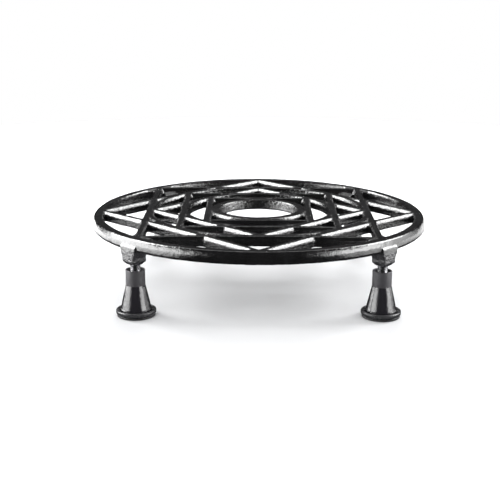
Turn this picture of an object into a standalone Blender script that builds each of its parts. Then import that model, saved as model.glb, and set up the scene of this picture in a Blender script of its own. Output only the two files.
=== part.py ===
"""Round cast-iron stand: an openwork star plate on four screw-adjustable bell feet.

Metres, +Z up. The origin is on the bench, under the middle of the plate. -Y is the front.
Each foot is a hex bolt held in a bell. The bolt screws up into a boss under the plate's rim,
and the bell turns on a base with a rubber sole, which stays still on the bench.
"""

import math

import bmesh
import bpy
from mathutils import Matrix

# ---- driving dimensions -------------------------------------------------------------------
PLATE_RADIUS = 0.100
STAND_HEIGHT = 0.046
RIM_DEPTH = 0.0077
BAR_DEPTH = 0.0060
DIAMOND_DEPTH = 0.0066
BAR_WIDTH = 0.0050
SHOULDER_WIDTH = 0.0011
SHOULDER_DROP = 0.0021
UNDERSIDE_TAPER = 0.0004

RIM_INNER = 0.0937
RIM_TOP_SETBACK = 0.0016
RIM_FOOT_SETBACK = 0.0010
RIM_BEVEL = 0.0015
# the rim is widest at this share of its depth, and the bosses rise to there
RIM_WIDEST = 0.45
RING_RADII = ((0.0634, 0.0684), (0.0424, 0.0470), (0.0228, 0.0295))
SQUARE_HALF_SIDES = (0.0663, 0.0454, 0.0302)
DIAMOND_CORNERS = (0.0955, 0.0643)
STAR_LIMIT = 0.0960
# squares lie this much inside the rings' two flat faces, and diamonds twice as much
LAYER_STEP = 0.00005

BOSS_SIDE = 0.0095
BOSS_BOTTOM = 0.0294
BOSS_CHAMFER = 0.0023
BOSS_FLARE = 0.0020
BOSS_HOLE_TOP = 0.0435
BOSS_HOLE_EDGE = 0.0006

THREAD_RADIUS = 0.0030
BOLT_HEAD_FLATS = 0.0100
BOLT_HEAD_BOTTOM = 0.0030
BOLT_HEAD_HEIGHT = 0.0040
BOLT_TOP = 0.0410

COLLAR_RADIUS = 0.0054
COLLAR_BOTTOM = 0.0178
BELL_TOP = 0.0265
BELL_BOTTOM = 0.0029
BELL_BASE_RADIUS = 0.0087
BELL_WALL = 0.0008
# height of the bell's upright lip, and the cone's curve: 1 is straight and more is hollow
BELL_LIP = 0.0010
CONE_HOLLOW = 1.12
CORE_BOTTOM = 0.0073
CORE_TOP = 0.0235

BASE_RADIUS = 0.0111
BASE_BOTTOM = 0.0016
BASE_FLOOR = 0.0026
BASE_TOP = 0.0040
SOLE_RADIUS = 0.0106
SOLE_TOP = 0.0013

GAP = 0.0003
BLUNTING = 0.0002
MERGE = 0.00001
RING_STEPS = 80
# rings start half a step round, so that none of their edges falls on a frame's corner
RING_START = math.pi / RING_STEPS
BELL_STEPS = 32
SMALL_STEPS = 24

COLLECTION = "bench_stand"
HELPERS = "shaping_solids"

# name: where the foot's axis meets the bench; the back pair stands a little closer together
FOOT_PLACES = {
    "front_left": (-0.0679, -0.0676, 0),
    "front_right": (0.0679, -0.0676, 0),
    "back_left": (-0.0642, 0.0712, 0),
    "back_right": (0.0642, 0.0712, 0),
}

# name: colour, metallic, roughness
FINISHES = {
    "cast_enamel": ((0.018, 0.018, 0.020), 0.0, 0.38),
    "dark_nickel": ((0.060, 0.060, 0.066), 0.9, 0.28),
    "bolt_steel": ((0.300, 0.300, 0.310), 1.0, 0.35),
    "nylon_core": ((0.025, 0.025, 0.027), 0.0, 0.55),
    "base_plastic": ((0.045, 0.045, 0.050), 0.0, 0.35),
    "sole_rubber": ((0.030, 0.030, 0.032), 0.0, 0.75),
}


def clear_scene():
    for old in list(bpy.data.objects):
        bpy.data.objects.remove(old, do_unlink=True)


def new_collection(name):
    collection = bpy.data.collections.new(name)
    bpy.context.scene.collection.children.link(collection)
    return collection


def finish(name):
    colour, metallic, roughness = FINISHES[name]
    material = bpy.data.materials.new(name)
    material.use_nodes = True
    shader = material.node_tree.nodes["Principled BSDF"]
    shader.inputs["Base Color"].default_value = (*colour, 1.0)
    shader.inputs["Metallic"].default_value = metallic
    shader.inputs["Roughness"].default_value = roughness
    return material


def add_object(name, mesh, collection, material=None):
    piece = bpy.data.objects.new(name, mesh)
    collection.objects.link(piece)
    if material and not mesh.materials:
        mesh.materials.append(material)
    return piece


def profile_mesh(name, points, closed, start=0.0):
    """An outline in the upright plane at angle start, listed down its outer side first."""
    count = len(points)
    edges = [(i, (i + 1) % count) for i in range(count if closed else count - 1)]
    places = [(radius * math.cos(start), radius * math.sin(start), z) for radius, z in points]
    mesh = bpy.data.meshes.new(name)
    mesh.from_pydata(places, edges, [])
    return mesh


def turn(piece, steps, smooth=True):
    """Turn a profile about its own Z axis; four steps give a square frame."""
    screw = piece.modifiers.new("turned", "SCREW")
    screw.axis = "Z"
    screw.angle = math.tau
    screw.steps = steps
    screw.render_steps = steps
    screw.use_merge_vertices = True
    screw.merge_threshold = MERGE
    screw.use_smooth_shade = smooth


def boolean(piece, operation, other):
    cut = piece.modifiers.new(operation.lower(), "BOOLEAN")
    cut.operation = operation
    cut.solver = "EXACT"
    if isinstance(other, bpy.types.Collection):
        cut.operand_type = "COLLECTION"
        cut.collection = other
    else:
        cut.object = other


def hide_helper(helper):
    helper.hide_render = True
    helper.display_type = "WIRE"


# ---- the plate ----------------------------------------------------------------------------
def rim_outline():
    """Crowned outer wall, widest near mid-depth, and an upright inner wall bevelled below."""
    top = STAND_HEIGHT
    bottom = STAND_HEIGHT - RIM_DEPTH
    # one point above the widest and one below it, at shares of the setbacks, round the wall off
    return (
        (PLATE_RADIUS - RIM_TOP_SETBACK, top),
        (PLATE_RADIUS - 0.25 * RIM_TOP_SETBACK, top - 0.20 * RIM_DEPTH),
        (PLATE_RADIUS, top - RIM_WIDEST * RIM_DEPTH),
        (PLATE_RADIUS - 0.30 * RIM_FOOT_SETBACK, top - 0.78 * RIM_DEPTH),
        (PLATE_RADIUS - RIM_FOOT_SETBACK, bottom),
        (RIM_INNER + RIM_BEVEL, bottom),
        (RIM_INNER, bottom + RIM_BEVEL),
        (RIM_INNER, top),
    )


def band_outline(inner, outer, depth=BAR_DEPTH, layer=0, widening=1.0):
    """A bar's section: a flat top between sloping shoulders, and walls that taper below them.

    Widening stretches the slopes where the section is cut askew, as at a frame's corner.
    """
    top = STAND_HEIGHT - layer * LAYER_STEP
    bottom = STAND_HEIGHT - depth + layer * LAYER_STEP
    widest = STAND_HEIGHT - SHOULDER_DROP
    shoulder = SHOULDER_WIDTH * widening
    taper = UNDERSIDE_TAPER * widening
    return (
        (outer - shoulder, top),
        (outer, widest),
        (outer - taper, bottom),
        (inner + taper, bottom),
        (inner, widest),
        (inner + shoulder, top),
    )


def add_ring(number, inner, outer, collection):
    mesh = profile_mesh(f"ring_{number}", band_outline(inner, outer), True, RING_START)
    ring = add_object(f"ring_{number}", mesh, collection)
    turn(ring, RING_STEPS)
    hide_helper(ring)


def add_frame(name, corner_radius, turned_by, depth, layer, limit, collection):
    """A square frame whose bar centrelines meet at corner_radius from the middle."""
    askew = math.sqrt(2)
    spread = BAR_WIDTH / 2 * askew
    outline = band_outline(corner_radius - spread, corner_radius + spread, depth, layer, askew)
    frame = add_object(name, profile_mesh(name, outline, True), collection)
    frame.rotation_euler.z = turned_by
    turn(frame, 4, smooth=False)
    boolean(frame, "INTERSECT", limit)
    hide_helper(frame)


def add_boss(name, place, envelope, collection):
    """A square boss set square to the rim, widening towards the rim along the tangent."""
    height = STAND_HEIGHT - RIM_WIDEST * RIM_DEPTH - BOSS_BOTTOM
    form = bmesh.new()
    bmesh.ops.create_cube(form, size=1.0)
    bmesh.ops.scale(form, vec=(BOSS_SIDE, BOSS_SIDE, height), verts=form.verts)
    bmesh.ops.translate(form, vec=(0, 0, BOSS_BOTTOM + height / 2), verts=form.verts)
    middle = STAND_HEIGHT - RIM_DEPTH - 2 * BOSS_FLARE
    bmesh.ops.bisect_plane(
        form,
        geom=form.verts[:] + form.edges[:] + form.faces[:],
        plane_co=(0, 0, middle),
        plane_no=(0, 0, 1),
    )
    for vertex in form.verts:
        if vertex.co.z > middle + MERGE:
            vertex.co.y += math.copysign(BOSS_FLARE, vertex.co.y)
    mesh = bpy.data.meshes.new(name)
    form.to_mesh(mesh)
    form.free()
    boss = add_object(name, mesh, collection)
    boss.location = place
    boss.rotation_euler.z = math.atan2(place[1], place[0])
    boolean(boss, "INTERSECT", envelope)
    hide_helper(boss)


def add_turned_helper(name, points, steps, collection, location=(0, 0, 0)):
    helper = add_object(name, profile_mesh(name, points, False), collection)
    helper.location = location
    turn(helper, steps)
    hide_helper(helper)
    return helper


def build_plate(parts, material):
    members = new_collection("plate_members")
    holes = new_collection("plate_holes")
    helpers = new_collection(HELPERS)

    above = 1.2 * STAND_HEIGHT
    limit_points = ((0, above), (STAR_LIMIT, above), (STAR_LIMIT, 0), (0, 0))
    limit = add_turned_helper("star_limit", limit_points, RING_STEPS, helpers)

    for number, (inner, outer) in enumerate(RING_RADII, start=2):
        add_ring(number, inner, outer, members)
    for number, half_side in enumerate(SQUARE_HALF_SIDES, start=1):
        corner = half_side * math.sqrt(2)
        add_frame(f"square_{number}", corner, math.radians(45), BAR_DEPTH, 1, limit, members)
    for number, corner in enumerate(DIAMOND_CORNERS, start=1):
        add_frame(f"diamond_{number}", corner, 0, DIAMOND_DEPTH, 2, limit, members)

    bottom_radius = THREAD_RADIUS + BOSS_HOLE_EDGE
    # just under the boss's half diagonal, so that its upright edges are blunted
    wide_radius = 0.98 * BOSS_SIDE / math.sqrt(2)
    envelope_points = (
        (0, STAND_HEIGHT),
        (3 * BOSS_SIDE, STAND_HEIGHT),
        (3 * BOSS_SIDE, STAND_HEIGHT - RIM_DEPTH - 2 * BOSS_FLARE),
        (wide_radius, BOSS_BOTTOM + BOSS_CHAMFER),
        (bottom_radius, BOSS_BOTTOM),
        (0, BOSS_BOTTOM),
    )
    hole_radius = THREAD_RADIUS + GAP
    hole_points = (
        (0, BOSS_HOLE_TOP),
        (hole_radius, BOSS_HOLE_TOP),
        (hole_radius, BOSS_BOTTOM - BOSS_CHAMFER),
        (0, BOSS_BOTTOM - BOSS_CHAMFER),
    )
    for name, place in FOOT_PLACES.items():
        envelope = add_turned_helper(
            f"{name}_boss_envelope", envelope_points, SMALL_STEPS, helpers, place
        )
        add_boss(f"{name}_boss", place, envelope, members)
        add_turned_helper(f"{name}_hole", hole_points, SMALL_STEPS, holes, place)

    mesh = profile_mesh("grate_plate", rim_outline(), True, RING_START)
    plate = add_object("grate_plate", mesh, parts, material)
    turn(plate, RING_STEPS)
    boolean(plate, "UNION", members)
    boolean(plate, "DIFFERENCE", holes)


# ---- the feet -----------------------------------------------------------------------------
def bell_inner_radius(height):
    """Inside of the bell: upright in the collar, then widening in a straight cone."""
    top = COLLAR_RADIUS - BELL_WALL
    bottom = BELL_BASE_RADIUS - BELL_WALL - GAP
    share = (COLLAR_BOTTOM - height) / (COLLAR_BOTTOM - BELL_BOTTOM)
    return top + max(0.0, share) * (bottom - top)


def bell_outline():
    cone_bottom = BELL_BOTTOM + BELL_LIP
    cone_steps = 5
    outer = [(COLLAR_RADIUS - BLUNTING, BELL_TOP), (COLLAR_RADIUS, BELL_TOP - BLUNTING)]
    for step in range(cone_steps + 1):
        share = step / cone_steps
        radius = COLLAR_RADIUS + (BELL_BASE_RADIUS - COLLAR_RADIUS) * share**CONE_HOLLOW
        outer.append((radius, COLLAR_BOTTOM + (cone_bottom - COLLAR_BOTTOM) * share))
    outer.append((BELL_BASE_RADIUS, BELL_BOTTOM))
    inner = [
        (bell_inner_radius(height), height) for height in (BELL_BOTTOM, COLLAR_BOTTOM, BELL_TOP)
    ]
    return outer + inner


def core_outline():
    bore = THREAD_RADIUS + GAP
    outer = [
        (bell_inner_radius(height) - GAP, height) for height in (CORE_TOP, COLLAR_BOTTOM, CORE_BOTTOM)
    ]
    return outer + [(bore, CORE_BOTTOM), (bore, CORE_TOP)]


def base_outline():
    recess = BELL_BASE_RADIUS + GAP
    # the tenths of a millimetre below blunt the edges
    return (
        (0, BASE_FLOOR),
        (recess, BASE_FLOOR),
        (recess + 0.0002, BASE_TOP - 0.0004),
        (recess + 0.0007, BASE_TOP),
        (BASE_RADIUS - 0.0007, BASE_TOP),
        (BASE_RADIUS - 0.0002, BASE_TOP - 0.0003),
        (BASE_RADIUS, BASE_TOP - 0.0009),
        (BASE_RADIUS - 0.0001, BASE_BOTTOM + 0.0003),
        (BASE_RADIUS - 0.0004, BASE_BOTTOM),
        (0, BASE_BOTTOM),
    )


def sole_outline():
    return (
        (0, SOLE_TOP),
        (SOLE_RADIUS, SOLE_TOP),
        (SOLE_RADIUS, 0.0005),
        (SOLE_RADIUS - 0.0005, 0),
        (0, 0),
    )


def bolt_mesh():
    """Hex head at the bottom, plain round shank at the thread's outer diameter."""
    head_top = BOLT_HEAD_BOTTOM + BOLT_HEAD_HEIGHT
    head_radius = BOLT_HEAD_FLATS / math.sqrt(3)
    form = bmesh.new()
    bmesh.ops.create_cone(
        form,
        cap_ends=True,
        segments=6,
        radius1=head_radius,
        radius2=head_radius,
        depth=BOLT_HEAD_HEIGHT,
        matrix=Matrix.Translation((0, 0, (BOLT_HEAD_BOTTOM + head_top) / 2)),
    )
    mesh = bpy.data.meshes.new("levelling_bolt")
    form.to_mesh(mesh)
    form.free()
    return mesh


def shank_mesh():
    """The round shank that every bolt takes by union."""
    start = BOLT_HEAD_BOTTOM + BOLT_HEAD_HEIGHT / 2
    points = (
        (0, BOLT_TOP),
        (THREAD_RADIUS - 0.0005, BOLT_TOP),
        (THREAD_RADIUS, BOLT_TOP - 0.0005),
        (THREAD_RADIUS, start),
        (0, start),
    )
    return profile_mesh("shank", points, False)


def build_feet(parts, materials):
    helpers = bpy.data.collections[HELPERS]
    base = profile_mesh("foot_base", base_outline(), False)
    sole = profile_mesh("foot_sole", sole_outline(), False)
    bell = profile_mesh("foot_bell", bell_outline(), True)
    core = profile_mesh("foot_core", core_outline(), True)
    bolt = bolt_mesh()
    shank = shank_mesh()

    for name, place in FOOT_PLACES.items():
        still = bpy.data.objects.new(f"{name}_lift_axis", None)
        turning = bpy.data.objects.new(f"{name}_turn_axis", None)
        for empty in (still, turning):
            parts.objects.link(empty)
        still.location = place
        turning.parent = still

        pieces = (
            ("foot_base", base, "base_plastic", still, BELL_STEPS),
            ("foot_sole", sole, "sole_rubber", still, BELL_STEPS),
            ("foot_bell", bell, "dark_nickel", turning, BELL_STEPS),
            ("foot_core", core, "nylon_core", turning, SMALL_STEPS),
        )
        for label, mesh, finish_name, parent, steps in pieces:
            piece = add_object(f"{name}_{label}", mesh, parts, materials[finish_name])
            piece.parent = parent
            turn(piece, steps)

        shank_helper = add_object(f"{name}_shank", shank, helpers)
        shank_helper.parent = turning
        turn(shank_helper, SMALL_STEPS)
        hide_helper(shank_helper)
        piece = add_object(f"{name}_levelling_bolt", bolt, parts, materials["bolt_steel"])
        piece.parent = turning
        boolean(piece, "UNION", shank_helper)


def main():
    clear_scene()
    parts = new_collection(COLLECTION)
    materials = {name: finish(name) for name in FINISHES}
    build_plate(parts, materials["cast_enamel"])
    build_feet(parts, materials)


main()
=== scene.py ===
import math

import bmesh
import bpy
import numpy as np
from mathutils import Matrix, Vector, noise


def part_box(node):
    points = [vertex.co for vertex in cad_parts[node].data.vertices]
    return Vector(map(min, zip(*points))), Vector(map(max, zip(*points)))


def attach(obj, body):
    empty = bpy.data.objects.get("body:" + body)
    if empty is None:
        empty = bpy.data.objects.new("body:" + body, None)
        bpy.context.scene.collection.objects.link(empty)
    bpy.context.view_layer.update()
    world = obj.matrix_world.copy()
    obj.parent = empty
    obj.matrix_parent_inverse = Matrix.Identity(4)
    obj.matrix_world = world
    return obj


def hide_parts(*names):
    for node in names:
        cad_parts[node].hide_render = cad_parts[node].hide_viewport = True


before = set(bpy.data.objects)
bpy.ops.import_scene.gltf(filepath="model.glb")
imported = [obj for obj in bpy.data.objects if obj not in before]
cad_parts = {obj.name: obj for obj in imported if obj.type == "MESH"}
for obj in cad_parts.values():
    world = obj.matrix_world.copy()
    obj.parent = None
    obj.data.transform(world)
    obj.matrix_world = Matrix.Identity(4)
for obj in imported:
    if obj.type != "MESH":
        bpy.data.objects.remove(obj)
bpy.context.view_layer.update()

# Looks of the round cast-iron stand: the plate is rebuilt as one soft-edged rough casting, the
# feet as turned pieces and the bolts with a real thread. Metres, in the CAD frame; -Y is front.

# ---- sizes of the plate -----------------------------------------------------------------------
CORNERS = ("front_left", "front_right", "back_left", "back_right")
PLATE_LOW, PLATE_HIGH = (Vector(corner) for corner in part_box("grate_plate"))
SKIN_MARGIN = 0.0002
PLATE_RADIUS = PLATE_HIGH.x + SKIN_MARGIN
TOP = PLATE_HIGH.z
BOSS_BOTTOM = PLATE_LOW.z

BAR_DEPTH = 0.0059
DIAMOND_DEPTH = 0.0060
BAR_WIDTH = 0.0050
SHOULDER_WIDTH = 0.0011
SHOULDER_DROP = 0.0019
FOOT_DRAFT = 0.0004
RING_RADII = ((0.0634, 0.0684), (0.0424, 0.0470), (0.0225, 0.0295))
SQUARE_HALF_SIDES = (0.0663, 0.0454, 0.0302)
DIAMOND_CORNERS = (0.0955, 0.0643)
HUB_LIP_HEIGHT = 0.0008
HUB_LIP_SHARE = 0.15

RIM_INNER = 0.0936
RIM_DEPTH = 0.0070
RIM_TOP_SETBACK = 0.0012
RIM_TOP_EDGE = 0.0003
RIM_WIDEST = 0.42
RIM_FOOT_SETBACK = 0.0008
RIM_FOOT_EDGE = 0.0010
RIM_BEVEL = 0.0015
RIM_DRAFT = 0.0004

# the rim lies lower than the middle by the dome, and the left and right sides also by the sag
DOME = 0.0010
SIDE_SAG = 0.0008

# the webs in the narrow corners between the big square's bars and the rim
GUSSET_REACH = 0.0095
GUSSET_OVERLAP = 0.0010
GUSSET_INTO_RIM = 0.0005
GUSSET_BELLY = 0.0009
GUSSET_BELLY_PLACE = 0.42
GUSSET_DROP = 0.0009

# each end of the back corners' lumps: reach inwards, half width, how deep the ridge and sides lie
WEB_ENDS = ((0.0, 0.0034, 0.0005, 0.0012), (0.0150, 0.0072, 0.0028, 0.0052))
WEB_DEPTH = 0.0075

BOSS_SIDE = 0.0095
BOSS_CHAMFER = 0.0019
BOSS_FOOT_SHARE = 0.62
BOSS_OUTSET = 0.0005
BOSS_FLARE = 0.0020
BOSS_HOLE_TOP = 0.0435
DRILL_BOTTOM = 0.0200
DRILL_CLEARANCE = 0.00012
DRILL_STEPS = 40

RIM_STEPS = 160
RING_STEPS = 128
VOXEL = 0.00050
SMOOTH_TURNS = 4
KEPT_TRIANGLES = 170000

# the casting's uneven skin: two noises of these sizes, each this high
SKIN_SWELL_SIZE = 0.0045
SKIN_GRAIN_SIZE = 0.0016
SKIN_HEIGHT = 0.00008
BOSS_KEPT_BELOW = 0.0350
BOSS_KEPT_FADE = 0.0030

# ---- sizes of the feet ------------------------------------------------------------------------
TURNED_STEPS = 72
COLLAR_RADIUS = 0.0054
COLLAR_BOTTOM = 0.0178
BELL_WALL = 0.0008
BELL_LIP_HEIGHT = 0.0012
BELL_LIP_TOP = 0.0018
BELL_LIP_SETBACK = 0.0003

BASE_RECESS = 0.0090
BASE_RECESS_SLOPE = 0.0002
BASE_RECESS_EDGE = 0.0005
BASE_FLOOR = 0.0026
BASE_LIP_WIDTH = 0.0010
BASE_LIP_DROP = 0.0004

THREAD_RADIUS = 0.0030
THREAD_PITCH = 0.0010
THREAD_DEPTH = 0.00061
# each flank's share of the pitch, and half the flat at the root as a share of a flank
THREAD_FLANK = 0.44
THREAD_ROOT_FLAT = 0.08
THREAD_CLEARANCE = 0.00005
BOLT_STEPS = 36
ROWS_PER_TURN = 10
TIP_SHARE = 0.72
TIP_LENGTH = 0.0010
HEAD_HEIGHT = 0.0040
HEAD_FLATS = 0.0100
HEAD_CHAMFER = 0.0003
HEAD_FOOT_RADIUS = 0.0048
CORE_CLEARANCE = 0.0002
CORE_NECK_RADIUS = 0.0043

# ---- looks ------------------------------------------------------------------------------------
ENAMEL_DARK = (0.0030, 0.0030, 0.0032)
ENAMEL_WORN = (0.0085, 0.0085, 0.0090)
ENAMEL_BOSS = (0.036, 0.035, 0.038)
ENAMEL_ROUGHNESS = (0.11, 0.21)
ENAMEL_BOSS_ROUGHNESS = 0.24
ENAMEL_IOR = 1.7
PATCH_SIZE = 0.0160
SWELL_SIZE, SWELL_DEPTH, SWELL_STRENGTH = 0.0050, 0.0003, 0.7
PIT_SIZE, PIT_DEPTH = 0.0016, 0.00055
GRAIN_SIZE, GRAIN_DEPTH, GRAIN_ON_RIM = 0.0009, 0.00025, 0.5
# the heights over which the boss's look ends, the radii over which the rim's look starts, and
# the share of up in a flank's normal
BOSS_ZONE = (0.0365, 0.0385)
RIM_ZONE = (0.0925, 0.0940)
FLANK_TILT = (0.20, 0.55)

CONE_BLACK = (0.0165, 0.0155, 0.0190)
COLLAR_GREY = (0.047, 0.045, 0.050)
CONE_ROUGHNESS = (0.08, 0.24)
COLLAR_ROUGHNESS = (0.46, 0.54)
COLLAR_FADE = 0.0002
BELL_IOR = 1.5
HAZE_SIZE = 0.0050
WAVE_SIZE, WAVE_DEPTH, WAVE_STRENGTH = 0.0026, 0.00026, 0.7

STEEL_GRIMY = (0.10, 0.10, 0.105)
STEEL_CLEAN = (0.34, 0.34, 0.35)
STEEL_ROUGHNESS = (0.45, 0.25)
GRIME_SIZE = 0.0012

MOULD_PATCH_SIZE = 0.0050
MOULD_LIGHTER = 1.6
MOULD_STRENGTH = 0.5
# each moulded finish: colour, lowest and highest roughness, grain size and depth
MOULDED = {
    "nylon_core": ((0.010, 0.010, 0.011), 0.45, 0.60, 0.0008, 0.00003),
    "base_plastic": ((0.034, 0.034, 0.036), 0.20, 0.32, 0.0012, 0.00002),
    "sole_rubber": ((0.012, 0.012, 0.013), 0.55, 0.75, 0.0006, 0.00004),
}


def foot_axis(corner):
    """The point on the ground under a foot's middle, from its CAD bell."""
    low, high = (Vector(end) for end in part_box(f"{corner}_foot_bell"))
    return Vector(((low.x + high.x) / 2, (low.y + high.y) / 2, 0))


# ---- mesh helpers -----------------------------------------------------------------------------
def rounded(points, radii, arc_steps, closed=True):
    """The outline with each corner swapped for an arc; a radius of 0 keeps the corner sharp."""
    count = len(points)
    made = []
    for i, (point, radius) in enumerate(zip(points, radii)):
        here = Vector(point)
        at_end = not closed and i in (0, count - 1)
        if radius == 0 or at_end:
            made.append(tuple(here))
            continue
        back = (Vector(points[i - 1]) - here).normalized()
        on = (Vector(points[(i + 1) % count]) - here).normalized()
        half = back.angle(on) / 2
        reach = radius / math.tan(half)
        middle = here + (back + on).normalized() * (radius / math.sin(half))
        start = here + back * reach - middle
        end = here + on * reach - middle
        for step in range(arc_steps + 1):
            spoke = start.lerp(end, step / arc_steps).normalized() * radius
            made.append(tuple(middle + spoke))
    return made


def around_axis(radius, angle, height):
    return radius * math.cos(angle), radius * math.sin(angle), height


def lathe(points, steps, start_angle=0.0, closed=True):
    """A bmesh of the outline turned about Z. An open outline starts and ends on the axis."""
    form = bmesh.new()
    rows = []
    for radius, height in points:
        if radius < 1e-7:
            rows.append([form.verts.new((0, 0, height))] * steps)
            continue
        ring = []
        for step in range(steps):
            angle = start_angle + math.tau * step / steps
            ring.append(form.verts.new(around_axis(radius, angle, height)))
        rows.append(ring)
    pairs = list(zip(rows, rows[1:] + rows[:1] if closed else rows[1:]))
    for upper, lower in pairs:
        for step in range(steps):
            following = (step + 1) % steps
            corners = [upper[step], lower[step], lower[following], upper[following]]
            unique = list(dict.fromkeys(corners))
            if len(unique) > 2:
                form.faces.new(unique)
    bmesh.ops.recalc_face_normals(form, faces=form.faces)
    return form


def bridge(form, first, second):
    """Quads between two rings with the same number of points."""
    count = len(first)
    for i in range(count):
        j = (i + 1) % count
        form.faces.new((first[i], first[j], second[j], second[i]))


def stacked(sections):
    """A closed bmesh through rings of points, the first and last of them filled in."""
    form = bmesh.new()
    rings = [[form.verts.new(point) for point in section] for section in sections]
    form.faces.new(rings[0])
    form.faces.new(rings[-1])
    for first, second in zip(rings, rings[1:]):
        bridge(form, first, second)
    bmesh.ops.recalc_face_normals(form, faces=form.faces)
    return form


def turned_outwards(form, axis):
    """Moves the form to the foot's axis, with its own +X pointing away from the middle."""
    turn = Matrix.Rotation(math.atan2(axis.y, axis.x), 4, "Z")
    bmesh.ops.transform(form, matrix=Matrix.Translation(axis) @ turn, verts=form.verts)
    return form


def to_mesh(form, name):
    mesh = bpy.data.meshes.new(name)
    form.to_mesh(mesh)
    form.free()
    return mesh


def new_object(name, data):
    piece = bpy.data.objects.new(name, data)
    bpy.context.scene.collection.objects.link(piece)
    return piece


def new_piece(name, mesh, material, body, smooth_angle):
    piece = new_object(name, mesh)
    mesh.shade_smooth()
    mesh.set_sharp_from_angle(angle=math.radians(smooth_angle))
    mesh.materials.clear()
    mesh.materials.append(material)
    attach(piece, body)
    return piece


def joined(forms, name):
    """One mesh that holds every form as a closed shell."""
    whole = bmesh.new()
    for form in forms:
        part = to_mesh(form, "part")
        whole.from_mesh(part)
        bpy.data.meshes.remove(part)
    return to_mesh(whole, name)


def settled(piece):
    """Swaps the piece's mesh for what its modifiers make of it."""
    graph = bpy.context.evaluated_depsgraph_get()
    mesh = bpy.data.meshes.new_from_object(piece.evaluated_get(graph), depsgraph=graph)
    piece.modifiers.clear()
    piece.data = mesh
    return mesh


# ---- node helpers -----------------------------------------------------------------------------
class Nodes:
    """A short way to add and link nodes in one tree."""

    def __init__(self, tree):
        self.tree = tree

    def add(self, kind, settings=None, **sockets):
        """A socket is given by its name, or by i and its number, as a value or another socket."""
        node = self.tree.nodes.new(kind)
        for name, value in (settings or {}).items():
            setattr(node, name, value)
        for name, value in sockets.items():
            numbered = name[0] == "i" and name[1:].isdigit()
            key = int(name[1:]) if numbered else name.replace("_", " ")
            if isinstance(value, bpy.types.NodeSocket):
                self.tree.links.new(value, node.inputs[key])
            else:
                node.inputs[key].default_value = value
        return node

    def math(self, operation, first, second=0.0, third=0.0):
        node = self.add("ShaderNodeMath", {"operation": operation}, i0=first, i1=second, i2=third)
        return node.outputs[0]

    def mix(self, factor, first, second):
        """A mix of two numbers."""
        settings = {"data_type": "FLOAT"}
        node = self.add("ShaderNodeMix", settings, Factor=factor, A=first, B=second)
        return node.outputs[0]

    def length(self, vector):
        node = self.add("ShaderNodeVectorMath", {"operation": "LENGTH"}, i0=vector)
        return node.outputs["Value"]


def new_material(name):
    material = bpy.data.materials.new(name)
    material.use_nodes = True
    nodes = Nodes(material.node_tree)
    shader = material.node_tree.nodes["Principled BSDF"]
    return material, nodes, shader


def noise_at(nodes, place, size, detail, roughness=0.55):
    """Noise whose grains are about size metres across."""
    node = nodes.add(
        "ShaderNodeTexNoise", Vector=place, Scale=1.0 / size, Detail=detail, Roughness=roughness
    )
    return node.outputs["Fac"]


def ramp(nodes, factor, low, high, low_value, high_value):
    node = nodes.add(
        "ShaderNodeMapRange",
        {"clamp": True},
        Value=factor,
        From_Min=low,
        From_Max=high,
        To_Min=low_value,
        To_Max=high_value,
    )
    return node.outputs["Result"]


def mix_colour(nodes, factor, first, second):
    """A mix of two colours: the node's inputs 6 and 7, its output 2."""
    node = nodes.add("ShaderNodeMix", {"data_type": "RGBA"}, Factor=factor)
    for socket, value in ((node.inputs[6], first), (node.inputs[7], second)):
        if isinstance(value, bpy.types.NodeSocket):
            nodes.tree.links.new(value, socket)
        else:
            socket.default_value = (*value, 1.0)
    return node.outputs[2]


def bump(nodes, shader, height, distance, strength, normal=None):
    """Adds a bump on top of any earlier one; strength may be a number or a socket."""
    node = nodes.add("ShaderNodeBump", Strength=strength, Distance=distance, Height=height)
    if normal:
        nodes.tree.links.new(normal, node.inputs["Normal"])
    nodes.tree.links.new(node.outputs["Normal"], shader.inputs["Normal"])
    return node.outputs["Normal"]


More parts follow.
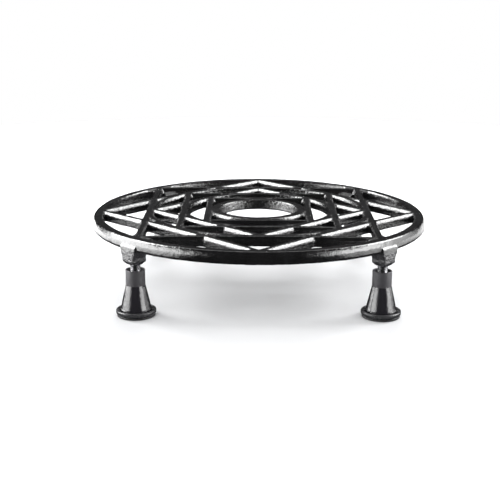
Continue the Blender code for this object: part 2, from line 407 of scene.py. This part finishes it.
# ---- materials --------------------------------------------------------------------------------
def cast_enamel():
    """Thin black enamel over a sand casting: grainy, with worn and dusty patches."""
    material, nodes, shader = new_material("cast_enamel")
    place = nodes.add("ShaderNodeTexCoord").outputs["Object"]
    grain = noise_at(nodes, place, GRAIN_SIZE, 2.0, 0.5)
    swell = noise_at(nodes, place, SWELL_SIZE, 2.0)
    patch = noise_at(nodes, place, PATCH_SIZE, 4.0, 0.6)
    worn = ramp(nodes, patch, 0.40, 0.65, 0.0, 1.0)
    colour = mix_colour(nodes, worn, ENAMEL_DARK, ENAMEL_WORN)
    # the bosses under the rim are greyer and duller
    height = nodes.add("ShaderNodeSeparateXYZ", Vector=place).outputs["Z"]
    boss = ramp(nodes, height, *BOSS_ZONE, 1.0, 0.0)
    colour = mix_colour(nodes, boss, colour, ENAMEL_BOSS)
    nodes.tree.links.new(colour, shader.inputs["Base Color"])
    enamel = ramp(nodes, patch, 0.35, 0.70, *ENAMEL_ROUGHNESS)
    rough = nodes.mix(boss, enamel, ENAMEL_BOSS_ROUGHNESS)
    nodes.tree.links.new(rough, shader.inputs["Roughness"])
    shader.inputs["IOR"].default_value = ENAMEL_IOR
    # the bosses and the flanks inside the rim are left as cast; the tops and the rim are dressed
    multiply = {"operation": "MULTIPLY"}
    flat = nodes.add("ShaderNodeVectorMath", multiply, i0=place, i1=(1.0, 1.0, 0.0)).outputs[0]
    radius = nodes.length(flat)
    facing = nodes.add("ShaderNodeNewGeometry").outputs["Normal"]
    upward = nodes.add("ShaderNodeSeparateXYZ", Vector=facing).outputs["Z"]
    flank = ramp(nodes, nodes.math("ABSOLUTE", upward), *FLANK_TILT, 1.0, 0.0)
    inside = ramp(nodes, radius, *RIM_ZONE, 1.0, 0.0)
    as_cast = nodes.math("MULTIPLY", flank, nodes.math("MAXIMUM", inside, boss))
    pits = noise_at(nodes, place, PIT_SIZE, 2.0, 0.6)
    coarse = bump(nodes, shader, swell, SWELL_DEPTH, SWELL_STRENGTH)
    medium = bump(nodes, shader, pits, PIT_DEPTH, as_cast, coarse)
    grain_strength = ramp(nodes, radius, *RIM_ZONE, 1.0, GRAIN_ON_RIM)
    bump(nodes, shader, grain, GRAIN_DEPTH, grain_strength, medium)
    return material


def gloss_black():
    """The bells' dark finish: satin on the collar, mirror-like on the cone below it."""
    material, nodes, shader = new_material("gloss_black")
    place = nodes.add("ShaderNodeTexCoord").outputs["Object"]
    height = nodes.add("ShaderNodeSeparateXYZ", Vector=place).outputs["Z"]
    low, high = COLLAR_BOTTOM - COLLAR_FADE, COLLAR_BOTTOM + COLLAR_FADE
    collar = ramp(nodes, height, low, high, 0.0, 1.0)
    haze = noise_at(nodes, place, HAZE_SIZE, 3.0)
    polished = ramp(nodes, haze, 0.3, 0.7, *CONE_ROUGHNESS)
    satin = ramp(nodes, haze, 0.3, 0.7, *COLLAR_ROUGHNESS)
    nodes.tree.links.new(nodes.mix(collar, polished, satin), shader.inputs["Roughness"])
    colour = mix_colour(nodes, collar, CONE_BLACK, COLLAR_GREY)
    nodes.tree.links.new(colour, shader.inputs["Base Color"])
    shader.inputs["IOR"].default_value = BELL_IOR
    bump(nodes, shader, noise_at(nodes, place, WAVE_SIZE, 3.0), WAVE_DEPTH, WAVE_STRENGTH)
    return material


def bolt_steel():
    """Bright screw steel with grime in patches."""
    material, nodes, shader = new_material("bolt_steel")
    place = nodes.add("ShaderNodeTexCoord").outputs["Object"]
    grime = noise_at(nodes, place, GRIME_SIZE, 3.0)
    clean = ramp(nodes, grime, 0.35, 0.65, 0.0, 1.0)
    colour = mix_colour(nodes, clean, STEEL_GRIMY, STEEL_CLEAN)
    nodes.tree.links.new(colour, shader.inputs["Base Color"])
    rough = ramp(nodes, grime, 0.3, 0.7, *STEEL_ROUGHNESS)
    nodes.tree.links.new(rough, shader.inputs["Roughness"])
    shader.inputs["Metallic"].default_value = 1.0
    return material


def moulded(name, colour, low_rough, high_rough, grain_size, depth):
    """Plain moulded plastic or rubber with a fine grain."""
    material, nodes, shader = new_material(name)
    place = nodes.add("ShaderNodeTexCoord").outputs["Object"]
    patch = noise_at(nodes, place, MOULD_PATCH_SIZE, 3.0)
    lighter = tuple(MOULD_LIGHTER * channel for channel in colour)
    mixed = mix_colour(nodes, patch, colour, lighter)
    nodes.tree.links.new(mixed, shader.inputs["Base Color"])
    rough = ramp(nodes, patch, 0.3, 0.7, low_rough, high_rough)
    nodes.tree.links.new(rough, shader.inputs["Roughness"])
    bump(nodes, shader, noise_at(nodes, place, grain_size, 2.0), depth, MOULD_STRENGTH)
    return material


# ---- the plate --------------------------------------------------------------------------------
def band_outline(inner, outer, depth=BAR_DEPTH, widening=1.0):
    """A bar's section: sloped shoulders under a narrow flat top, and a slightly narrower foot.

    Widening stretches the slopes where the section is cut askew, as at a frame's corner.
    """
    bottom = TOP - depth
    widest = TOP - SHOULDER_DROP
    shoulder = SHOULDER_WIDTH * widening
    draft = FOOT_DRAFT * widening
    return (
        (outer - shoulder, TOP),
        (outer, widest),
        (outer - draft, bottom),
        (inner + draft, bottom),
        (inner, widest),
        (inner + shoulder, TOP),
    )


def hub_outline(inner, outer):
    """The middle ring: its hole narrows downwards all the way through."""
    outline = list(band_outline(inner, outer))
    bottom = TOP - BAR_DEPTH
    outline[3] = (inner, bottom)
    outline[4] = (inner + HUB_LIP_SHARE * SHOULDER_WIDTH, bottom + HUB_LIP_HEIGHT)
    return outline


def rim_outline():
    bottom = TOP - RIM_DEPTH
    return (
        (PLATE_RADIUS - RIM_TOP_SETBACK, TOP),
        (PLATE_RADIUS - 0.70 * RIM_TOP_SETBACK, TOP - RIM_TOP_EDGE),
        (PLATE_RADIUS, TOP - RIM_WIDEST * RIM_DEPTH),
        (PLATE_RADIUS, bottom + RIM_FOOT_EDGE),
        (PLATE_RADIUS - RIM_FOOT_SETBACK, bottom),
        (RIM_INNER + RIM_BEVEL, bottom),
        (RIM_INNER - RIM_DRAFT, bottom + RIM_BEVEL),
        (RIM_INNER + RIM_DRAFT, TOP - 0.3 * SHOULDER_DROP),
        (RIM_INNER + 0.7 * SHOULDER_WIDTH, TOP),
    )


def frame_form(corner_radius, start_angle, depth):
    """A square of bars, as a turned form with four steps."""
    askew = math.sqrt(2)
    spread = BAR_WIDTH / 2 * askew
    outline = band_outline(corner_radius - spread, corner_radius + spread, depth, askew)
    return lathe(outline, 4, start_angle)


def boss_form(axis):
    """A square boss under the rim: chamfered below, spreading along the rim above."""
    half = BOSS_SIDE / 2
    foot = BOSS_FOOT_SHARE * half
    rim_bottom = TOP - DOME - RIM_DEPTH
    levels = (
        (BOSS_BOTTOM, foot, foot),
        (BOSS_BOTTOM + BOSS_CHAMFER, half, half),
        (rim_bottom - 2.2 * BOSS_FLARE, half, half),
        (rim_bottom, half, half + 0.7 * BOSS_FLARE),
        (TOP - DOME - 0.45 * RIM_DEPTH, half, half + BOSS_FLARE),
    )
    corners = ((1, 1), (-1, 1), (-1, -1), (1, -1))
    sections = [
        [(BOSS_OUTSET + x * radial, y * tangential, height) for x, y in corners]
        for height, radial, tangential in levels
    ]
    return turned_outwards(stacked(sections), axis)


def corner_web(axis):
    """The ridged lump that slopes from a back boss into the inside corner of the big square."""
    sections = []
    for reach, half, ridge, side in WEB_ENDS:
        upper = [(half, side), (0, ridge), (-half, side)]
        lower = [(-half, WEB_DEPTH), (half, WEB_DEPTH)]
        sections.append([(-reach, y, TOP - drop) for y, drop in upper + lower])
    return turned_outwards(stacked(sections), axis)


def gusset_forms():
    """Webs that round off the narrow corners where the big square's bars run into the rim."""
    side = SQUARE_HALF_SIDES[0] + BAR_WIDTH / 2
    along = math.sqrt((RIM_INNER + GUSSET_INTO_RIM) ** 2 - side**2)
    rim_way = Vector((along, -side)).normalized()
    inner_side = side - GUSSET_OVERLAP
    outline = (
        (inner_side, along),
        tuple(Vector((side, along)) + rim_way * GUSSET_REACH),
        (side + GUSSET_BELLY, along - GUSSET_BELLY_PLACE * GUSSET_REACH),
        (inner_side, along - GUSSET_REACH),
    )
    heights = (TOP - BAR_DEPTH, TOP - GUSSET_DROP)
    forms = []
    for quarter in range(4):
        turn = Matrix.Rotation(math.radians(90 * quarter), 2)
        for swapped in (False, True):
            points = [turn @ Vector((y, x) if swapped else (x, y)) for x, y in outline]
            forms.append(stacked([[(*point, height) for point in points] for height in heights]))
    return forms


def shape_casting(mesh):
    """Domes the plate slightly and gives its skin the uneven surface of a sand casting."""
    count = len(mesh.vertices)
    points = np.zeros(count * 3)
    mesh.vertices.foreach_get("co", points)
    points = points.reshape(-1, 3)
    normals = np.zeros(count * 3)
    mesh.vertices.foreach_get("normal", normals)
    normals = normals.reshape(-1, 3)
    swell = np.array([noise.noise(Vector(p) / SKIN_SWELL_SIZE) for p in points])
    grain = np.array([noise.noise(Vector(p) / SKIN_GRAIN_SIZE) for p in points])
    points += normals * (SKIN_HEIGHT * swell + SKIN_HEIGHT * grain)[:, None]
    share = np.hypot(points[:, 0], points[:, 1]) / PLATE_RADIUS
    above_boss = np.clip((points[:, 2] - BOSS_KEPT_BELOW) / BOSS_KEPT_FADE, 0, 1)
    sideways = points[:, 0] / PLATE_RADIUS
    points[:, 2] -= (DOME * share**2 + SIDE_SAG * sideways**2) * above_boss
    mesh.vertices.foreach_set("co", points.ravel())
    mesh.update()


def drill_bolt_holes(casting):
    """Cuts the four blind holes that the bolts screw into."""
    radius = THREAD_RADIUS + DRILL_CLEARANCE
    top, bottom = BOSS_HOLE_TOP, DRILL_BOTTOM
    outline = ((0, top), (radius, top), (radius, bottom), (0, bottom))
    drills = []
    for corner in CORNERS:
        drill = lathe(outline, DRILL_STEPS, closed=False)
        bmesh.ops.translate(drill, vec=foot_axis(corner), verts=drill.verts)
        drills.append(drill)
    drill_piece = new_object("drills", joined(drills, "drills"))
    cut = casting.modifiers.new("bolt_holes", "BOOLEAN")
    cut.operation = "DIFFERENCE"
    cut.solver = "MANIFOLD"
    cut.object = drill_piece
    mesh = settled(casting)
    bpy.data.objects.remove(drill_piece)
    return mesh


def build_plate(material):
    """One skin over the rim, rings, squares, diamonds, bosses and webs."""
    forms = [lathe(rim_outline(), RIM_STEPS)]
    forms += [lathe(band_outline(inner, outer), RING_STEPS) for inner, outer in RING_RADII[:2]]
    forms.append(lathe(hub_outline(*RING_RADII[2]), RING_STEPS))
    for half_side in SQUARE_HALF_SIDES:
        forms.append(frame_form(half_side * math.sqrt(2), math.radians(45), BAR_DEPTH))
    forms += [frame_form(corner, 0.0, DIAMOND_DEPTH) for corner in DIAMOND_CORNERS]
    forms += [boss_form(foot_axis(corner)) for corner in CORNERS]
    forms += gusset_forms()
    forms += [corner_web(foot_axis(corner)) for corner in CORNERS[2:]]
    casting = new_object("plate_casting", joined(forms, "plate_casting"))

    remesh = casting.modifiers.new("one_skin", "REMESH")
    remesh.mode = "VOXEL"
    remesh.voxel_size = VOXEL
    soften = casting.modifiers.new("soft_edges", "SMOOTH")
    soften.factor = 0.5
    soften.iterations = SMOOTH_TURNS
    shape_casting(settled(casting))

    mesh = drill_bolt_holes(casting)
    triangles = sum(len(face.vertices) - 2 for face in mesh.polygons)
    thin = casting.modifiers.new("thinned", "DECIMATE")
    thin.ratio = KEPT_TRIANGLES / triangles
    mesh = settled(casting)
    bpy.data.objects.remove(casting)
    plate = new_piece("cast_plate", mesh, material, "plate", 60)
    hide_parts("grate_plate")


# ---- the feet ---------------------------------------------------------------------------------
def bell_outline():
    low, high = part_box("front_left_foot_bell")
    top, bottom = high[2], low[2]
    wide = (high[0] - low[0]) / 2
    corners = (
        (COLLAR_RADIUS, top, 0.00025),
        (COLLAR_RADIUS, COLLAR_BOTTOM, 0.003),
        (wide - BELL_LIP_SETBACK, bottom + BELL_LIP_TOP, 0.0004),
        (wide, bottom + BELL_LIP_HEIGHT, 0.0003),
        (wide, bottom, 0.0002),
        (wide - BELL_WALL, bottom, 0),
        (COLLAR_RADIUS - BELL_WALL, COLLAR_BOTTOM, 0),
        (COLLAR_RADIUS - BELL_WALL, top, 0.00025),
    )
    return rounded([corner[:2] for corner in corners], [corner[2] for corner in corners], 6)


def base_outline():
    low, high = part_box("front_left_foot_base")
    top, bottom = high[2], low[2]
    wide = (high[0] - low[0]) / 2
    points = (
        (0, BASE_FLOOR),
        (BASE_RECESS, BASE_FLOOR),
        (BASE_RECESS + BASE_RECESS_SLOPE, top - BASE_RECESS_EDGE),
        (wide - BASE_LIP_WIDTH, top),
        (wide, top - BASE_LIP_DROP),
        (wide, bottom),
        (0, bottom),
    )
    radii = (0, 0.0001, 0.0004, 0.0004, 0.0005, 0.0006, 0)
    return rounded(points, radii, 5, closed=False)


def sole_outline():
    low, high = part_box("front_left_foot_sole")
    wide = (high[0] - low[0]) / 2
    points = ((0, high[2]), (wide, high[2]), (wide, 0), (0, 0))
    return rounded(points, (0, 0.0004, 0.0005, 0), 5, closed=False)


def core_outline():
    low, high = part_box("front_left_foot_core")
    wide = (high[0] - low[0]) / 2
    bore = THREAD_RADIUS + CORE_CLEARANCE
    points = (
        (CORE_NECK_RADIUS, high[2]),
        (CORE_NECK_RADIUS, COLLAR_BOTTOM),
        (wide, low[2]),
        (bore, low[2]),
        (bore, high[2]),
    )
    return rounded(points, (0.0003, 0, 0.0003, 0, 0.0004), 3)


def bolt_mesh():
    """Hex head, then a shank with a right-hand thread: each turn climbs by one pitch."""
    low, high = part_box("front_left_levelling_bolt")
    head_bottom, top = low[2], high[2]
    head_top = head_bottom + HEAD_HEIGHT
    rows = int((top - head_top) / THREAD_PITCH * ROWS_PER_TURN)
    turns = [step / BOLT_STEPS for step in range(BOLT_STEPS)]
    form = bmesh.new()

    shank = []
    for row in range(rows + 1):
        height = head_top + (top - head_top) * row / rows
        tip = min(1.0, TIP_SHARE + (1 - TIP_SHARE) * (top - height) / TIP_LENGTH)
        ring = []
        for turn in turns:
            phase = (height / THREAD_PITCH - turn) % 1.0
            flank = min(1.0, max(0.0, abs(phase - 0.5) / THREAD_FLANK - THREAD_ROOT_FLAT))
            radius = THREAD_RADIUS - THREAD_CLEARANCE - THREAD_DEPTH * (1 - flank)
            ring.append(form.verts.new(around_axis(radius * tip, math.tau * turn, height)))
        shank.append(ring)
    for lower, upper in zip(shank, shank[1:]):
        bridge(form, lower, upper)
    form.faces.new(shank[-1])

    def hexagon(turn):
        """The distance from the axis to the side of the head."""
        return HEAD_FLATS / 2 / math.cos(math.tau * turn % (math.pi / 3) - math.pi / 6)

    head = []
    for height in (head_top, head_bottom + HEAD_CHAMFER):
        points = [around_axis(hexagon(turn), math.tau * turn, height) for turn in turns]
        head.append([form.verts.new(point) for point in points])
    points = [around_axis(HEAD_FOOT_RADIUS, math.tau * turn, head_bottom) for turn in turns]
    head.append([form.verts.new(point) for point in points])
    order = [shank[0], *head]
    for upper, lower in zip(order, order[1:]):
        bridge(form, lower, upper)
    form.faces.new(head[-1])
    bmesh.ops.recalc_face_normals(form, faces=form.faces)
    return to_mesh(form, "bolt")


def build_feet(materials):
    """Swaps each foot's bell, core, base, sole and bolt for a finer one."""
    outlines = {
        "foot_bell": (bell_outline(), True, "leg", "gloss_black"),
        "foot_core": (core_outline(), True, "leg", "nylon_core"),
        "foot_base": (base_outline(), False, "base", "base_plastic"),
        "foot_sole": (sole_outline(), False, "base", "sole_rubber"),
    }
    for corner in CORNERS:
        axis = foot_axis(corner)
        for label, (outline, closed, body, finish) in outlines.items():
            node = f"{corner}_{label}"
            form = lathe(outline, TURNED_STEPS, closed=closed)
            bmesh.ops.translate(form, vec=axis, verts=form.verts)
            mesh = to_mesh(form, node)
            material = materials[finish]
            piece = new_piece(f"{node}_fine", mesh, material, f"{corner}_{body}", 40)
            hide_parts(node)
        node = f"{corner}_levelling_bolt"
        mesh = bolt_mesh()
        mesh.transform(Matrix.Translation(axis))
        material = materials["bolt_steel"]
        piece = new_piece(f"{node}_fine", mesh, material, f"{corner}_leg", 50)
        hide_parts(node)


# ---- stage ------------------------------------------------------------------------------------
CAMERA_PLACE = (-0.0029, -0.6002, 0.1807)
CAMERA_PITCH = 15.03
CAMERA_PAN = 0.21
CAMERA_ROLL = 0.25
CAMERA_LENS = 72.65

FLOOR_RADIUS = 0.75
FLOOR_COLOUR = (0.735, 0.74, 0.75, 1.0)
WHITE = (1.0, 1.0, 1.0, 1.0)
BLACK = (0.0, 0.0, 0.0, 1.0)

# each light: azimuth from and to and its fade, elevation from and to and its fade, radiance;
# azimuths are degrees from the camera's side, towards the side the light is on
LEFT_LIGHTS = ((49, 120, 10, -5, 20, 4, 10.5), (86, 124, 4, 20, 52, 4, 24.0))
RIGHT_LIGHTS = (
    (50, 92, 8, -3, 20, 4, 10.5),
    (92, 125, 8, -3, 20, 4, 3.0),
    (86, 124, 4, 20, 52, 4, 19.0),
)
BACK_LIGHT = (110, 190, 14, 38, 72, 8, 1.6)
AMBIENT = 0.06

# each lamp for the ground: azimuth, elevation, power
GROUND_LIGHTS = ((180, 17, 34.0), (0, 62, 10.0), (-120, 33, 18.0), (120, 33, 19.0))
GROUND_LIGHT_SIZE = 0.9
GROUND_LIGHT_DISTANCE = 1.5
GROUND_AMBIENT = 0.50

# the light pads lying on the ground: name, side, radiance
PADS = (("left_pad", -1, 4.5), ("right_pad", 1, 2.0))
PAD_INNER = 0.175
PAD_OUTER = 0.70
PAD_HEIGHT = 0.0002
PAD_FROM = 46
PAD_TO = 150
PAD_STEPS = 24
PAD_FADE = 1.3


def add_camera():
    camera = bpy.data.cameras.new("camera")
    camera.lens = CAMERA_LENS
    camera.sensor_width = 36.0
    camera.clip_start = 0.01
    camera.clip_end = 100.0
    piece = new_object("camera", camera)
    aim = Matrix.Rotation(math.radians(CAMERA_PAN), 4, "Z")
    aim @= Matrix.Rotation(math.radians(90 - CAMERA_PITCH), 4, "X")
    aim @= Matrix.Rotation(math.radians(CAMERA_ROLL), 4, "Z")
    piece.matrix_world = Matrix.Translation(CAMERA_PLACE) @ aim
    bpy.context.scene.camera = piece


def add_floor():
    form = bmesh.new()
    bmesh.ops.create_circle(form, cap_ends=True, segments=96, radius=FLOOR_RADIUS)
    floor = new_object("floor", to_mesh(form, "floor"))
    material, _, shader = new_material("floor")
    shader.inputs["Base Color"].default_value = FLOOR_COLOUR
    shader.inputs["Roughness"].default_value = 1.0
    shader.inputs["Specular IOR Level"].default_value = 0.0
    floor.data.materials.append(material)
    floor.visible_glossy = False


def add_pads():
    """Two light pads on the ground, left and right, that light the stand's sides from below."""
    lift = Vector((0, 0, PAD_HEIGHT))
    for name, side, radiance in PADS:
        form = bmesh.new()
        rows = []
        for step in range(PAD_STEPS + 1):
            angle = math.radians(PAD_FROM + (PAD_TO - PAD_FROM) * step / PAD_STEPS)
            way = Vector((side * math.sin(angle), -math.cos(angle), 0))
            rows.append([form.verts.new(way * reach + lift) for reach in (PAD_INNER, PAD_OUTER)])
        for back, on in zip(rows, rows[1:]):
            form.faces.new((back[0], back[1], on[1], on[0]))
        bmesh.ops.recalc_face_normals(form, faces=form.faces)
        mesh = to_mesh(form, name)
        if mesh.polygons[0].normal.z < 0:
            mesh.flip_normals()
        pad = new_object(name, mesh)
        material, nodes, shader = new_material(name)
        reach = nodes.length(nodes.add("ShaderNodeTexCoord").outputs["Object"])
        strength = ramp(nodes, reach, PAD_INNER, PAD_FADE * PAD_INNER, 1.0, radiance)
        shader.inputs["Base Color"].default_value = BLACK
        shader.inputs["Emission Color"].default_value = WHITE
        nodes.tree.links.new(strength, shader.inputs["Emission Strength"])
        mesh.materials.append(material)


def add_ground_lights():
    """Soft lamps from four sides that no gloss reflects: they give the shadow on the ground."""
    for azimuth, elevation, power in GROUND_LIGHTS:
        lamp = bpy.data.lights.new("ground_light", "AREA")
        lamp.shape = "DISK"
        lamp.size = GROUND_LIGHT_SIZE
        lamp.energy = power
        piece = new_object("ground_light", lamp)
        turn = math.radians(azimuth)
        rise = math.radians(elevation)
        flat = math.cos(rise)
        way = Vector((flat * math.sin(turn), -flat * math.cos(turn), math.sin(rise)))
        piece.location = way * GROUND_LIGHT_DISTANCE
        piece.rotation_euler = way.to_track_quat("Z", "Y").to_euler()
        piece.visible_glossy = False
        piece.visible_camera = False


def add_light():
    """Soft boxes far off that only gloss reflects, even light for the rest, and a white room."""
    world = bpy.data.worlds.new("studio")
    bpy.context.scene.world = world
    world.use_nodes = True
    nodes = Nodes(world.node_tree)
    way = nodes.add("ShaderNodeTexCoord").outputs["Generated"]
    x, y, z = nodes.add("ShaderNodeSeparateXYZ", Vector=way).outputs
    elevation = nodes.math("DEGREES", nodes.math("ARCSINE", z))
    forward = nodes.math("MULTIPLY", y, -1.0)
    leftward = nodes.math("MULTIPLY", x, -1.0)

    def glow(sideways, light):
        start, end, fade, bottom, top, edge, radiance = light
        azimuth = nodes.math("DEGREES", nodes.math("ARCTAN2", sideways, forward))
        mask = ramp(nodes, azimuth, start - fade, start + fade, 0.0, radiance)
        for value, low, high, low_value, high_value in (
            (azimuth, end - fade, end + fade, 1.0, 0.0),
            (elevation, bottom - edge, bottom + edge, 0.0, 1.0),
            (elevation, top - edge, top + edge, 1.0, 0.0),
        ):
            part = ramp(nodes, value, low, high, low_value, high_value)
            mask = nodes.math("MULTIPLY", mask, part)
        return mask

    both_ways = nodes.math("ABSOLUTE", x)
    strength = glow(both_ways, BACK_LIGHT)
    for sideways, lights in ((leftward, LEFT_LIGHTS), (x, RIGHT_LIGHTS)):
        for light in lights:
            strength = nodes.math("ADD", strength, glow(sideways, light))
    strength = nodes.math("ADD", strength, AMBIENT)
    rays = nodes.add("ShaderNodeLightPath").outputs
    shown = nodes.mix(rays["Is Glossy Ray"], GROUND_AMBIENT, strength)
    shown = nodes.mix(rays["Is Camera Ray"], shown, 1.0)
    background = world.node_tree.nodes["Background"]
    background.inputs["Color"].default_value = WHITE
    world.node_tree.links.new(shown, background.inputs["Strength"])
    bpy.context.scene.view_settings.view_transform = "Standard"


add_camera()
add_floor()
add_pads()
add_ground_lights()
add_light()
MATERIALS = {
    "cast_enamel": cast_enamel(),
    "gloss_black": gloss_black(),
    "bolt_steel": bolt_steel(),
}
MATERIALS.update({name: moulded(name, *settings) for name, settings in MOULDED.items()})
build_plate(MATERIALS["cast_enamel"])
build_feet(MATERIALS)
